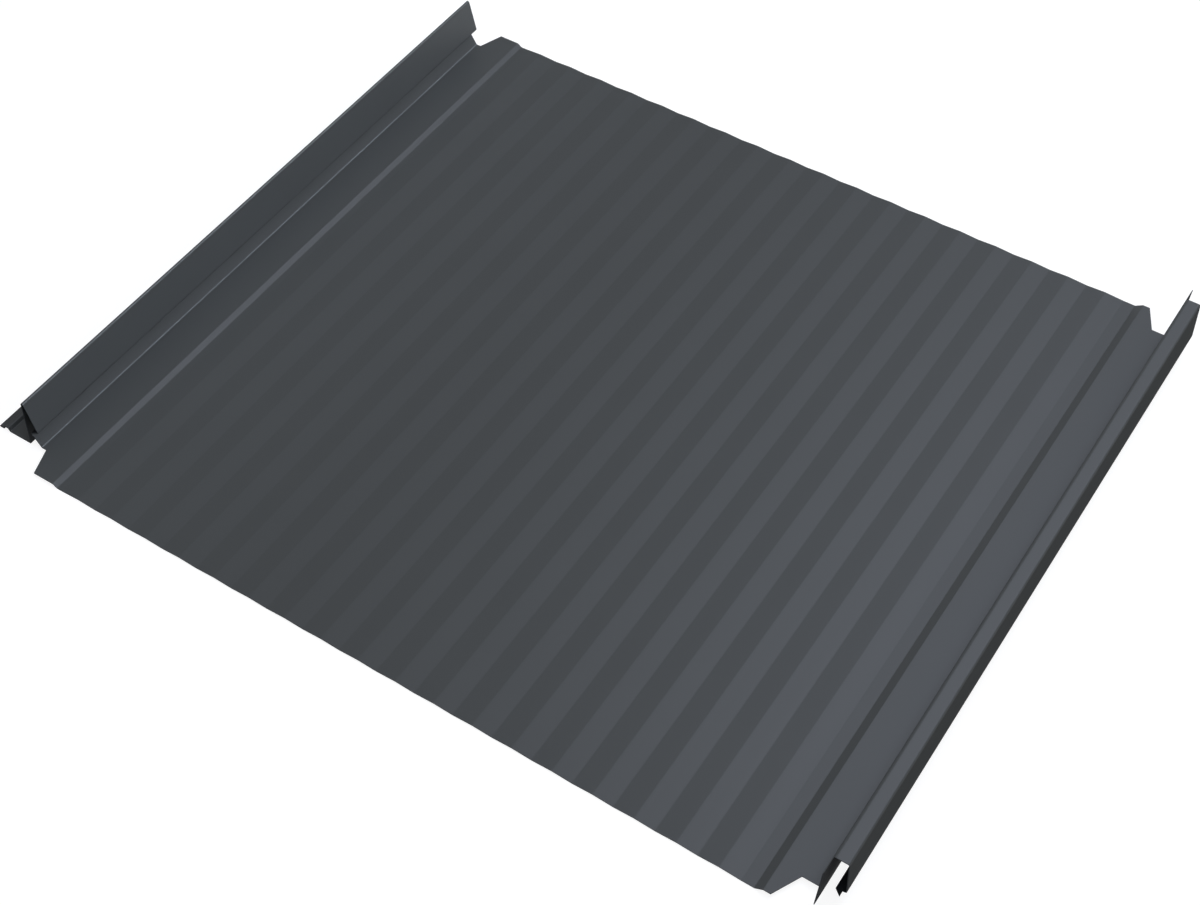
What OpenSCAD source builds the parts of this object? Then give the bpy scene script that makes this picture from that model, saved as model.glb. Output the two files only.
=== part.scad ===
// Standing seam roof panel: one strip of painted steel sheet, roll formed.
// A flat-bottomed pan with fine ripples lies between two seams. The hollow
// rib on the left (male) has a slotted fixing flange, which is screwed to the
// deck. The channel on the right (female) snaps over the next panel's rib.
//
// X runs across the panel from the flange to the female seam, Y along the
// seams and Z up. The origin is the centre of the panel's footprint, on the
// deck. Lengths are in millimetres, angles in degrees.

/* [Sheet] */
// Length of the panel along the seams
panel_l = 425; // [250:5:1200]
// Cover width, from one rib to the same place on the next panel's rib
cover_w = 475; // [300:1:600]
// Thickness of the coated steel sheet
sheet_t = 0.5; // [0.4:0.05:0.7]
// Inside radius of the sharp folds
fold_r = 0.6; // [0.4:0.05:0.8]

/* [Rippled pan] */
// Spacing of the ripple crests
crest_pitch = 22.5; // [12:0.5:40]
// Height of the crests over the troughs
crest_h = 0.65; // [0.3:0.05:2]
// Radius that eases each crest and each trough
crest_r = 8; // [2:0.5:12]
// Least flat between a step and the first ripple beside it
field_margin = 3.6; // [1:0.1:6]

/* [Side strips] */
// Height of the strip beside the male rib over the troughs
male_strip_h = 1.9; // [1.5:0.1:4]
// Width of the strip beside the male rib
male_strip_w = 21.5; // [18:0.1:30]
// Width of the slope from that strip down to the ripples
male_step_w = 2.5; // [2:0.1:8]
// Height of the strip beside the female seam, which goes over the flange
female_strip_h = 2.8; // [2.2:0.1:4]
// Width of the strip beside the female seam
female_strip_w = 22.3; // [18:0.1:30]
// Width of the slope from that strip down to the ripples
female_step_w = 4.2; // [2:0.1:8]

/* [Male rib] */
// Height of the rib over the deck
rib_h = 34; // [25:0.5:45]
// Width of the rib at its foot, from the leg to the pan
rib_foot_w = 8.3; // [6:0.1:10]
// How far the leg leans towards the pan over its height
leg_lean = 2.8; // [1:0.1:4]
// Width of the rib's folded top
rib_top_w = 1.4; // [1.4:0.1:3]
// Inside radius of the two folds of the top
top_fold_r = 0.4; // [0.3:0.05:0.5]
// Reach of the barb from the foot of the leg
barb_reach = 8.9; // [7.5:0.1:10.5]
// Height of the barb's edge over the deck
barb_z = 14.2; // [12:0.1:20]
// Distance of the throat under the barb from the foot of the leg
throat_reach = 3.1; // [2.5:0.1:5]
// Height of the throat under the barb over the deck
throat_z = 10.8; // [8:0.1:14]
// Inside radius of the fold between the rib and the pan
foot_fold_r = 1.2; // [0.6:0.1:2.5]

/* [Fixing flange] */
// Gap between the flange's edge and the step of the panel laid over it
flange_gap = 0.75; // [0.5:0.05:3]
// Distance of the stiffening bead from the flange's edge
bead_edge = 5.3; // [4:0.1:7]
// Width of the bead at its foot
bead_w = 4.4; // [3:0.1:6]
// Gap between the bead and the panel laid over it
bead_gap = 0.1; // [0.05:0.05:1]
// Width of a slot
slot_w = 5; // [4:0.1:6]
// Length of a slot from end to end
slot_l = 25; // [10:1:40]
// Spacing of the slots along the flange
slot_pitch = 100; // [50:5:300]

/* [Female seam] */
// Gap between the inner wall and the foot of the next panel's leg
seam_gap = 0.25; // [0.1:0.05:0.6]
// Gap over the next panel's rib
top_gap = 0.2; // [0.1:0.05:1]
// Inside radius of the fold between the inner wall and the top
seam_fold_r = 1.4; // [0.6:0.1:2]
// Gap between the next panel's barb and the outer wall
barb_gap = 0.15; // [0.05:0.05:0.6]
// How much less the inner wall leans than the leg beside it
lean_gap = 1.2; // [0.5:0.05:2]
// How far the outer wall flares from its top to its bottom
outer_flare = 1.05; // [0.5:0.05:2.5]
// How far the lip's fold lies under the next panel's throat
lip_play = 0.3; // [0.1:0.1:2]
// How far the lip drops from its fold to its free edge
lip_drop = 1.1; // [0:0.1:3]
// Gap between the lip's free edge and the foot of the next panel's rib
lip_gap = 0.15; // [0.05:0.05:1]

/* [End cuts] */
// Depth to which the seams are cut back from the pan's end
notch_l = 15; // [5:0.5:40]
// Flat left at the bottom of the notch beside the male rib
notch_gap_male = 3.1; // [2:0.1:8]
// Width of the chamfer between that notch and the pan's end
chamfer_male = 5.4; // [1:0.1:9]
// Flat left at the bottom of the notch beside the female seam
notch_gap_female = 10.9; // [4:0.1:12]
// Width of the chamfer between that notch and the pan's end
chamfer_female = 7.5; // [1:0.1:9]
// Length of the inner wall's tongue past the seam's end
tongue_l = 9; // [2:0.5:30]
// Length of the pointed ear at the end of the lip
ear_l = 3; // [1:0.5:4]
// Distance of the ear's straight side from the outer wall
ear_gap = 1.8; // [1:0.1:2.5]

/* [Hidden] */

slot_fn = 48;                   // facets of a slot's round ends
arc_step = 15;                  // largest turn between two points of a fold
past = 1;                       // how far a cutting solid runs past the sheet
half_t = sheet_t / 2;
fold = fold_r + half_t;         // fold radii are to the middle of the sheet
top_fold = top_fold_r + half_t;
foot_fold = foot_fold_r + half_t;
seam_fold = seam_fold_r + half_t;

// Levels of the middle of the sheet. The flange and the flats beside the
// ripples lie on the deck.
deck_z = half_t;
crest_z = deck_z + crest_h;
male_strip_z = male_strip_h + half_t;
female_strip_z = female_strip_h + half_t;
rib_top_z = rib_h - half_t;
lip_z = throat_z - lip_play;
lip_edge_z = lip_z - lip_drop;
channel_top_z = rib_h + top_gap + half_t;

// Stations of the middle of the sheet, from the foot of the male rib's leg.
// The flange reaches under the side strip of the panel that is laid over it.
wall_x = cover_w - sheet_t - seam_gap;
left_step_x = rib_foot_w + male_strip_w;
right_step_x = wall_x - female_strip_w;
left_flat_x = left_step_x + male_step_w;
right_flat_x = right_step_x - female_step_w;
crest_n = floor((right_flat_x - left_flat_x - 2 * field_margin) / crest_pitch);
field_x0 = left_flat_x + field_margin;
flange_w = female_strip_w + sheet_t + seam_gap - flange_gap;
bead_x = flange_w - bead_edge;
bead_h = female_strip_h - sheet_t - bead_gap;
slot_x = (bead_x - bead_w / 2) / 2;

// The female seam is drawn around the next panel's rib, whose leg stands at
// cover_w. Its outer wall passes the barb, and its lip ends beside the slope
// that leads down from the throat to the pan.
slope = (rib_foot_w - throat_reach) / (throat_z - male_strip_z);
flare = outer_flare / (channel_top_z - lip_z);
barb_side_x = cover_w + barb_reach + sheet_t + barb_gap;
outer_top_x = barb_side_x - flare * (channel_top_z - barb_z);
outer_foot_x = barb_side_x + flare * (barb_z - lip_z);
slope_side_x = cover_w + throat_reach + slope * (throat_z - lip_edge_z + half_t);
lip_edge_x = slope_side_x + half_t * norm([1, slope]) + lip_gap;
wall_top_x = wall_x + leg_lean - lean_gap;

// Every corner of the sheet's middle line is [x, z, fold radius], from the
// free edge of the flange to the free edge of the lip.
flange_line = [
    [-flange_w, deck_z, 0],
    [-bead_x - bead_w / 2, deck_z, fold],
    [-bead_x - bead_w / 4, deck_z + bead_h, fold],
    [-bead_x + bead_w / 4, deck_z + bead_h, fold],
    [-bead_x + bead_w / 2, deck_z, fold],
];
rib_line = [
    [0, deck_z, fold],
    [leg_lean, rib_top_z, top_fold],
    [leg_lean + rib_top_w, rib_top_z, top_fold],
    [barb_reach, barb_z, fold],
    [throat_reach, throat_z, fold],
    [rib_foot_w, male_strip_z, foot_fold],
];
ripple_line = [
    for (i = [0 : crest_n])
        for (corner = i < crest_n ? [0, 1] : [0])
            [
                field_x0 + (i + corner / 2) * crest_pitch,
                corner == 0 ? deck_z : crest_z,
                crest_r
            ]
];
pan_line = concat(
    [
        [left_step_x, male_strip_z, fold],
        [left_flat_x, deck_z, fold],
    ],
    ripple_line,
    [
        [right_flat_x, deck_z, fold],
        [right_step_x, female_strip_z, fold],
    ]
);
channel_line = [
    [wall_x, female_strip_z, fold],
    [wall_top_x, channel_top_z, seam_fold],
    [outer_top_x, channel_top_z, fold],
    [outer_foot_x, lip_z, fold],
    [lip_edge_x, lip_edge_z, 0],
];
middle_line = concat(flange_line, rib_line, pan_line, channel_line);

function direction(a, b) = atan2(b.y - a.y, b.x - a.x);
function wrap(angle) = angle > 180 ? angle - 360 : angle < -180 ? angle + 360 : angle;
function normal(angle) = [-sin(angle), cos(angle)];

// Points of one corner as [point on the middle line, angle of the sheet]: an
// arc that leaves and meets the straights beside it without a kink.
function corner_points(line, i) =
    let (
        last = len(line) - 1,
        here = [line[i].x, line[i].y],
        angle_in = direction(line[max(i, 1) - 1], line[max(i, 1)]),
        angle_out = direction(line[min(i, last - 1)], line[min(i, last - 1) + 1]),
        turn = wrap(angle_out - angle_in),
        side = sign(turn) * line[i].z,
        tangent = line[i].z * tan(abs(turn) / 2),
        start = here - tangent * [cos(angle_in), sin(angle_in)],
        centre = start + side * normal(angle_in),
        steps = side == 0 ? 0 : ceil(abs(turn) / arc_step) + 1
    )
    steps == 0
    ? [[here, angle_in]]
    : [
        for (k = [0 : steps])
            let (angle = angle_in + turn * k / steps)
            [centre - side * normal(angle), angle]
    ];

// The sheet's section, half a thickness to each side of its middle line.
sheet_points = [for (i = [0 : len(middle_line) - 1]) each corner_points(middle_line, i)];
section = concat(
    [for (p = sheet_points) p[0] + half_t * normal(p[1])],
    [for (i = [len(sheet_points) - 1 : -1 : 0]) sheet_points[i][0] - half_t * normal(sheet_points[i][1])]
);
section_x = [for (p = section) p.x];
centre_x = (min(section_x) + max(section_x)) / 2;
tall = channel_top_z + half_t + 2 * past;

slot_n = floor((panel_l - 2 * notch_l - slot_l) / slot_pitch) + 1;

// A plan outline raised through the whole height of the panel.
module through_cut(outline) {
    translate([0, 0, -past])
        linear_extrude(tall)
            polygon(outline);
}

// What is cut away beside the male rib, with the panel's end at y = 0.
module male_end_cut() {
    notch_x = rib_foot_w + notch_gap_male;
    outside_x = -flange_w - past;
    through_cut([
        [notch_x + chamfer_male, -past], [notch_x + chamfer_male, 0],
        [notch_x, notch_l], [outside_x, notch_l], [outside_x, -past]
    ]);
}

// What is cut away beside the female seam. A tongue of the inner wall and a
// pointed ear of the lip stay on.
module female_end_cut() {
    notch_x = wall_x - notch_gap_female;
    outside_x = outer_foot_x + sheet_t + past;
    ear_x = outer_foot_x - ear_gap;
    difference() {
        through_cut([
            [notch_x - chamfer_female, -past], [outside_x, -past],
            [outside_x, notch_l], [notch_x, notch_l], [notch_x - chamfer_female, 0]
        ]);
        translate([wall_x - half_t, notch_l - tongue_l, -2 * past])
            cube([wall_top_x - wall_x + sheet_t, tongue_l + past, tall + 2 * past]);
        translate([0, 0, lip_edge_z - fold])
            linear_extrude(lip_drop + 2 * fold)
                polygon([
                    [ear_x, notch_l - ear_l], [ear_x, notch_l + past],
                    [lip_edge_x - past, notch_l + past], [lip_edge_x - past, notch_l],
                    [lip_edge_x, notch_l]
                ]);
    }
}

module both_ends() {
    children();
    translate([0, panel_l, 0])
        mirror([0, 1, 0])
            children();
}

// An oblong hole through the flange, with its length along the panel.
module slot_cut() {
    straight = slot_l - slot_w;
    for (end = [-1, 1])
        translate([0, end * straight / 2, -past])
            cylinder(h = sheet_t + 2 * past, d = slot_w, $fn = slot_fn);
    translate([-slot_w / 2, -straight / 2, -past])
        cube([slot_w, straight, sheet_t + 2 * past]);
}

module flange_slots() {
    for (i = [0 : slot_n - 1])
        translate([-slot_x, panel_l / 2 + (i - (slot_n - 1) / 2) * slot_pitch, 0])
            slot_cut();
}

module roof_panel() {
    color("#43484c")
        translate([-centre_x, -panel_l / 2, 0])
            difference() {
                translate([0, panel_l, 0])
                    rotate([90, 0, 0])
                        linear_extrude(panel_l)
                            polygon(section);
                both_ends() {
                    male_end_cut();
                    female_end_cut();
                }
                flange_slots();
            }
}

roof_panel();
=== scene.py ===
"""Standing seam roof panel: the finish of the sheet, the floor, the lights and the camera.

The panel is one strip of coil-coated steel, 0.5 mm thick. It has a satin-matt topcoat on
the side that faces the weather, a duller backing coat on the other side, and a sheared
edge all round. Lengths are in metres, except where a name ends in _MM or a comment says
otherwise.
"""
import math

import bmesh
import bpy
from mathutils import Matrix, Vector


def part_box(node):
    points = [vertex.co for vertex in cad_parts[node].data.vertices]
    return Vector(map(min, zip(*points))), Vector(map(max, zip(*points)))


MM = 0.001

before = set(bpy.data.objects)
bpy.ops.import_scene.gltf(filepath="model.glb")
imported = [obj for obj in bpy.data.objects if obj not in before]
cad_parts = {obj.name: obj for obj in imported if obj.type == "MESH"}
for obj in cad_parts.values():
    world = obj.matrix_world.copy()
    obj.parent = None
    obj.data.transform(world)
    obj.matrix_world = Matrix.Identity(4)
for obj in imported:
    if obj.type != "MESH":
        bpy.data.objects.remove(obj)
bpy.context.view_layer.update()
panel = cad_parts["roof_panel"]
panel_low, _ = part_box("roof_panel")

# ---------------------------------------------------------------- small helpers

# The numbers of a Mix node's sockets: its factor, its two floats, its two colours, and the
# output that gives the mixed colour.
FACTOR, FLOAT_A, FLOAT_B, COLOUR_A, COLOUR_B, MIXED_COLOUR = 0, 2, 3, 6, 7, 2


def hex_colour(text):
    """An sRGB hex colour as the linear RGBA that the shaders read."""
    parts = [int(text[i:i + 2], 16) / 255 for i in (1, 3, 5)]
    linear = [c / 12.92 if c <= 0.04045 else ((c + 0.055) / 1.055) ** 2.4 for c in parts]
    return (*linear, 1.0)


def add_node(tree, kind, inputs=None, **settings):
    """Adds a node. settings are its own properties. inputs maps an input's name or number
    to what feeds it: an output, a node whose first output is meant, or a plain value."""
    node = tree.nodes.new(kind)
    for name, value in settings.items():
        setattr(node, name, value)
    for key, value in (inputs or {}).items():
        if isinstance(value, bpy.types.Node):
            value = value.outputs[0]
        if isinstance(value, bpy.types.NodeSocket):
            tree.links.new(value, node.inputs[key])
        else:
            node.inputs[key].default_value = value
    return node


def new_tree(datablock):
    """The emptied node tree of a material or a world."""
    datablock.use_nodes = True
    datablock.node_tree.nodes.clear()
    return datablock.node_tree


# ---------------------------------------------------------------- the coated sheet

# Topcoat: a graphite polyester, very slightly darker in wide soft patches.
TOPCOAT = "#494b4a"
TOPCOAT_DEEP = "#474948"
MOTTLE_MM = 45.0
# Painted highlight: a paler line of topcoat along two tight folds, where their highlight
# falls.
PAINTED_FOLD_HIGHLIGHT = "#5e6160"
# Backing coat: a thin epoxy primer on the side that the weather never reaches. Its dark grey
# is partly the primer's own colour and partly painted shade for the shaded insides of the rib
# and of the seam channel.
BACKING_AND_SHADE = "#1c1f21"
BACKING_AND_SHADE_DEEP = "#1a1d1f"
# Sheared edge: steel and zinc dragged down by the shear, dulled by the cutting oil.
EDGE = "#34383b"
# The topcoat's fine stipple: its size, how far it stands out, and how far it breaks up
# into finer grain.
STIPPLE_MM = 1.1
STIPPLE_DEPTH_MM = 0.0015
STIPPLE_DETAIL = 1.0
# Faint lengthwise streaks that the coater leaves: how wide and how long they are, the part
# of the noise that draws them, and how much rougher or smoother they make the coat.
STREAK_WIDTH_MM = 3.0
STREAK_LENGTH_MM = 260.0
STREAK_NOISE = (0.3, 0.7)
STREAK_ROUGHNESS = 0.01

# How rough and how reflective the topcoat is, and how rough the other finishes are.
ROUGHNESS = 0.4
COAT_IOR = 1.5
SPECULAR = 0.25
DULL_ROUGHNESS = 0.75
# Where the gloss starts to go as the sheet turns away, and where it is gone, on a scale
# from 0 for a face seen square on to 1 for one seen edge on.
GLANCING = (0.45, 0.65)
GLANCING_ROUGHNESS = 1.0

# Parts of the folded section, as their ranges of x and of z in millimetres.
# The weather side is turned downwards in the return under the male rib's barb, and in the
# lip of the female seam.
RETURN_UNDER_BARB = (-229.0, -222.0), (10.54, 14.635)
SEAM_LIP = (247.5, 260.0), (-1.0, 11.23)
# The long sheared edges are the flange's back edge and the lip's edge. The flange's range
# takes in the sides of its slots too.
FLANGE_EDGE = (-260.0, -233.0), (-1.0, 10.0)
LIP_EDGE = (247.9, 248.4), (-1.0, 40.0)
# At the rib's foot and at its top a paler line of topcoat is painted along the fold, as a
# painted highlight.
FOOT_FOLD = (-223.05, -222.5), (2.0, 3.5)
TOP_FOLD = (-227.6, -227.0), (33.7, 34.2)
# How far a face's normal points along Y, at least, on a cut end, a chamfer or the end of a
# slot, and how far it points along X on a long edge or the side of a slot.
CUT_END_NORMAL = 0.1
LONG_EDGE_NORMAL = 0.9


def in_section(tree, x, z, x_range, z_range):
    """1 inside a rectangle of the section, and 0 elsewhere. COMPARE gives 1 to a value that
    is no further than half the range from the range's middle."""
    inside = []
    for value, (low, high) in ((x, x_range), (z, z_range)):
        middle, half = (low + high) / 2 * MM, (high - low) / 2 * MM
        inside.append(add_node(
            tree, "ShaderNodeMath", {0: value, 1: middle, 2: half}, operation="COMPARE",
        ))
    return add_node(
        tree, "ShaderNodeMath", {0: inside[0], 1: inside[1]}, operation="MULTIPLY",
    )


def backing_side(tree, x, z, normal_z):
    """1 on the side with the backing coat. That is the underside, or the upper side where
    the section is turned over. Either way faces_up equals turned, which COMPARE tests."""
    turned = add_node(
        tree, "ShaderNodeMath",
        {0: in_section(tree, x, z, *RETURN_UNDER_BARB),
         1: in_section(tree, x, z, *SEAM_LIP)},
        operation="MAXIMUM",
    )
    faces_up = add_node(
        tree, "ShaderNodeMath", {0: normal_z, 1: 0.0}, operation="GREATER_THAN",
    )
    return add_node(
        tree, "ShaderNodeMath", {0: faces_up, 1: turned, 2: 0.5}, operation="COMPARE",
    )


def sheared_edges(tree, x, z, normal_x, normal_y):
    """1 on the sheared edges: the cut ends and chamfers, the slots, and the long edges."""
    along = add_node(tree, "ShaderNodeMath", {0: normal_y}, operation="ABSOLUTE")
    across = add_node(tree, "ShaderNodeMath", {0: normal_x}, operation="ABSOLUTE")
    upright = add_node(
        tree, "ShaderNodeMath", {0: across, 1: LONG_EDGE_NORMAL}, operation="GREATER_THAN",
    )
    sheared = add_node(
        tree, "ShaderNodeMath", {0: along, 1: CUT_END_NORMAL}, operation="GREATER_THAN",
    )
    for edge in (FLANGE_EDGE, LIP_EDGE):
        long_edge = add_node(
            tree, "ShaderNodeMath", {0: in_section(tree, x, z, *edge), 1: upright},
            operation="MULTIPLY",
        )
        sheared = add_node(
            tree, "ShaderNodeMath", {0: sheared, 1: long_edge}, operation="MAXIMUM",
        )
    return sheared


def finish_colour(tree, place, x, z, is_back, is_edge):
    """The colour of each finish, with a soft mottle in the two coats and a painted highlight,
    a paler line of topcoat, along two folds."""
    mottle = add_node(
        tree, "ShaderNodeTexNoise", {"Vector": place, "Scale": 1 / (MOTTLE_MM * MM)},
    )
    # The backing colour is partly painted shade, which darkens the insides of the rib and of
    # the seam channel.
    topcoat, backing = (
        add_node(
            tree, "ShaderNodeMix",
            {FACTOR: mottle, COLOUR_A: hex_colour(deep), COLOUR_B: hex_colour(pale)},
            data_type="RGBA",
        ).outputs[MIXED_COLOUR]
        for deep, pale in ((TOPCOAT_DEEP, TOPCOAT), (BACKING_AND_SHADE_DEEP, BACKING_AND_SHADE))
    )
    # Painted highlight: the paler line along the rib's foot fold and top fold.
    painted_fold_highlight = add_node(
        tree, "ShaderNodeMath",
        {0: in_section(tree, x, z, *FOOT_FOLD), 1: in_section(tree, x, z, *TOP_FOLD)},
        operation="MAXIMUM",
    )
    colour = topcoat
    for mask, finish in (
        (painted_fold_highlight, hex_colour(PAINTED_FOLD_HIGHLIGHT)),
        (is_back, backing),
        (is_edge, hex_colour(EDGE)),
    ):
        colour = add_node(
            tree, "ShaderNodeMix", {FACTOR: mask, COLOUR_A: colour, COLOUR_B: finish},
            data_type="RGBA",
        ).outputs[MIXED_COLOUR]
    return colour


def finish_roughness(tree, place, is_back, is_edge):
    """Satin-matt on the topcoat, with faint streaks along the strip, and duller on the
    back and the edges."""
    streak_scale = [
        1 / (size * MM) for size in (STREAK_WIDTH_MM, STREAK_LENGTH_MM, STREAK_WIDTH_MM)
    ]
    streak_place = add_node(
        tree, "ShaderNodeVectorMath", {0: place, 1: streak_scale}, operation="MULTIPLY",
    )
    streaks = add_node(tree, "ShaderNodeTexNoise", {"Vector": streak_place, "Scale": 1.0})
    low, high = STREAK_NOISE
    topcoat = add_node(
        tree, "ShaderNodeMapRange",
        {"Value": streaks, "From Min": low, "From Max": high,
         "To Min": ROUGHNESS - STREAK_ROUGHNESS, "To Max": ROUGHNESS + STREAK_ROUGHNESS},
    )
    dull = add_node(
        tree, "ShaderNodeMath", {0: is_back, 1: is_edge}, operation="MAXIMUM",
    )
    square_on = add_node(
        tree, "ShaderNodeMix", {FACTOR: dull, FLOAT_A: topcoat, FLOAT_B: DULL_ROUGHNESS},
        data_type="FLOAT",
    )
    # A matt coat loses its gloss at a glancing angle, where its fine relief hides itself.
    facing = add_node(tree, "ShaderNodeLayerWeight").outputs["Facing"]
    starts, ends = GLANCING
    glancing = add_node(
        tree, "ShaderNodeMapRange", {"Value": facing, "From Min": starts, "From Max": ends},
    )
    return add_node(
        tree, "ShaderNodeMix",
        {FACTOR: glancing, FLOAT_A: square_on, FLOAT_B: GLANCING_ROUGHNESS},
        data_type="FLOAT",
    )


def coated_steel():
    """Coil-coated steel. The coats are cured on the flat strip before it is rolled into
    shape, so they are even, satin-matt and unbroken around each fold."""
    material = bpy.data.materials.new("coil_coated_steel_graphite")
    tree = new_tree(material)
    place = add_node(tree, "ShaderNodeTexCoord").outputs["Object"]
    x, _, z = add_node(tree, "ShaderNodeSeparateXYZ", {0: place}).outputs
    normal = add_node(tree, "ShaderNodeNewGeometry").outputs["True Normal"]
    normal_x, normal_y, normal_z = add_node(
        tree, "ShaderNodeSeparateXYZ", {0: normal},
    ).outputs

    is_back = backing_side(tree, x, z, normal_z)
    is_edge = sheared_edges(tree, x, z, normal_x, normal_y)
    stipple = add_node(
        tree, "ShaderNodeTexNoise",
        {"Vector": place, "Scale": 1 / (STIPPLE_MM * MM), "Detail": STIPPLE_DETAIL},
    )
    relief = add_node(
        tree, "ShaderNodeBump", {"Distance": STIPPLE_DEPTH_MM * MM, "Height": stipple},
    )
    shader = add_node(
        tree, "ShaderNodeBsdfPrincipled",
        {"Base Color": finish_colour(tree, place, x, z, is_back, is_edge),
         "Roughness": finish_roughness(tree, place, is_back, is_edge),
         "Normal": relief, "IOR": COAT_IOR, "Specular IOR Level": SPECULAR},
    )
    add_node(tree, "ShaderNodeOutputMaterial", {"Surface": shader})
    return material


steel = coated_steel()
for slot in panel.material_slots:
    slot.material = steel

# ---------------------------------------------------------------- floor, world and lights

STUDIO_RADIUS = 30.0
STUDIO_SIDES = 96
BACKDROP_HEIGHT = 2.5
FLOOR_GAP_MM = 0.2
# The board's own colour is a mid grey, so that it throws little light back at the panel's
# walls. The rest of its white is added for the rays that see it.
FLOOR_COLOUR = "#808080"
FLOOR_WHITE = 0.88
SEEING_RAYS = ("Is Camera Ray", "Is Glossy Ray", "Is Transmission Ray")
ROOM_COLOUR = "#ffffff"
# The lamps are slightly cool.
LAMP_COLOUR = "#e5ecff"


def matt_board():
    """The floor's board: matt, and white to the camera, in gloss and through glass."""
    material = bpy.data.materials.new("matt_white_board")
    tree = new_tree(material)
    board = add_node(tree, "ShaderNodeBsdfDiffuse", {"Color": hex_colour(FLOOR_COLOUR)})
    rays = add_node(tree, "ShaderNodeLightPath")
    seen = 0.0
    for ray in SEEING_RAYS:
        seen = add_node(
            tree, "ShaderNodeMath", {0: seen, 1: rays.outputs[ray]}, operation="MAXIMUM",
        )
    level = add_node(tree, "ShaderNodeMath", {0: seen, 1: FLOOR_WHITE}, operation="MULTIPLY")
    white = add_node(tree, "ShaderNodeEmission", {"Strength": level})
    both = add_node(tree, "ShaderNodeAddShader", {0: board, 1: white})
    add_node(tree, "ShaderNodeOutputMaterial", {"Surface": both})
    return material


def studio_floor():
    """A plain pale floor just under the panel, with a low backdrop round its edge."""
    mesh = bmesh.new()
    bmesh.ops.create_circle(
        mesh, cap_ends=True, segments=STUDIO_SIDES, radius=STUDIO_RADIUS,
    )
    rim = [edge for edge in mesh.edges if edge.is_boundary]
    wall = bmesh.ops.extrude_edge_only(mesh, edges=rim)["geom"]
    top = [part for part in wall if isinstance(part, bmesh.types.BMVert)]
    bmesh.ops.translate(mesh, verts=top, vec=(0, 0, BACKDROP_HEIGHT))
    bmesh.ops.translate(
        mesh, verts=mesh.verts, vec=(0, 0, panel_low.z - FLOOR_GAP_MM * MM),
    )
    data = bpy.data.meshes.new("studio_floor")
    mesh.to_mesh(data)
    mesh.free()
    data.materials.append(matt_board())
    floor = bpy.data.objects.new("studio_floor", data)
    bpy.context.scene.collection.objects.link(floor)


def pale_room(level):
    """A plain pale world, which lights the panel evenly from all sides."""
    world = bpy.data.worlds.new("pale_room")
    bpy.context.scene.world = world
    tree = new_tree(world)
    soft = add_node(
        tree, "ShaderNodeBackground", {"Color": hex_colour(ROOM_COLOUR), "Strength": level},
    )
    add_node(tree, "ShaderNodeOutputWorld", {"Surface": soft})


def softbox(name, place, aim, size, level, spread=180):
    """A rectangular area light that faces the point aim. level is how bright it looks when
    it has no grid, where 1 is white. spread is the angle in degrees that a grid lets out."""
    light = bpy.data.lights.new(name, "AREA")
    light.shape = "RECTANGLE"
    light.size, light.size_y = size
    light.color = hex_colour(LAMP_COLOUR)[:3]
    light.spread = math.radians(spread)
    light.energy = level * math.pi * size[0] * size[1]
    lamp = bpy.data.objects.new(name, light)
    bpy.context.scene.collection.objects.link(lamp)
    lamp.location = place
    lamp.visible_camera = False
    lamp.rotation_euler = (Vector(place) - Vector(aim)).to_track_quat("Z", "Y").to_euler()


studio_floor()
pale_room(level=0.3)
# The main light is a long softbox above the seam. A narrow gridded one fills the rib's
# face, and a large one far behind draws the ripples in the coat's gloss.
softbox(
    "seam_softbox", place=(0.24, 0.2, 0.5), aim=(-0.22, 0.2, 0.0), size=(1.4, 0.3), level=2.01,
)
softbox(
    "rib_softbox", place=(0.2, 0.05, 0.35), aim=(-0.24, 0.05, 0.015), size=(1.2, 0.12),
    level=0.38, spread=24,
)
softbox(
    "far_softbox", place=(0.3645, 1.3604, 2.6488), aim=(0.0, 0.0, 0.0), size=(1.6, 1.6),
    level=3.64,
)

# ---------------------------------------------------------------- camera

# Angles are in degrees, and the lens and the sensor in millimetres.
CAMERA_AZIMUTH = 32.995
CAMERA_ELEVATION = 50.377
CAMERA_DISTANCE = 1.02778
CAMERA_AIM = Vector((0.020137, -0.039995, 0))
CAMERA_LENS = 58.74
CAMERA_SENSOR = 36.0
CAMERA_SHIFT = (0.0045, -0.0014)
CAMERA_CLIP = (0.05, 50)


def place_camera():
    """The scene's camera, which looks down at the panel over its near right corner."""
    turn, rise = math.radians(CAMERA_AZIMUTH), math.radians(CAMERA_ELEVATION)
    back = Vector(
        (math.sin(turn) * math.cos(rise), -math.cos(turn) * math.cos(rise), math.sin(rise))
    )
    data = bpy.data.cameras.new("camera")
    data.sensor_width = CAMERA_SENSOR
    data.lens = CAMERA_LENS
    data.shift_x, data.shift_y = CAMERA_SHIFT
    data.clip_start, data.clip_end = CAMERA_CLIP
    camera = bpy.data.objects.new("camera", data)
    bpy.context.scene.collection.objects.link(camera)
    camera.location = CAMERA_AIM + back * CAMERA_DISTANCE
    camera.rotation_euler = back.to_track_quat("Z", "Y").to_euler()
    bpy.context.scene.camera = camera


place_camera()
bpy.context.scene.view_settings.view_transform = "Standard"
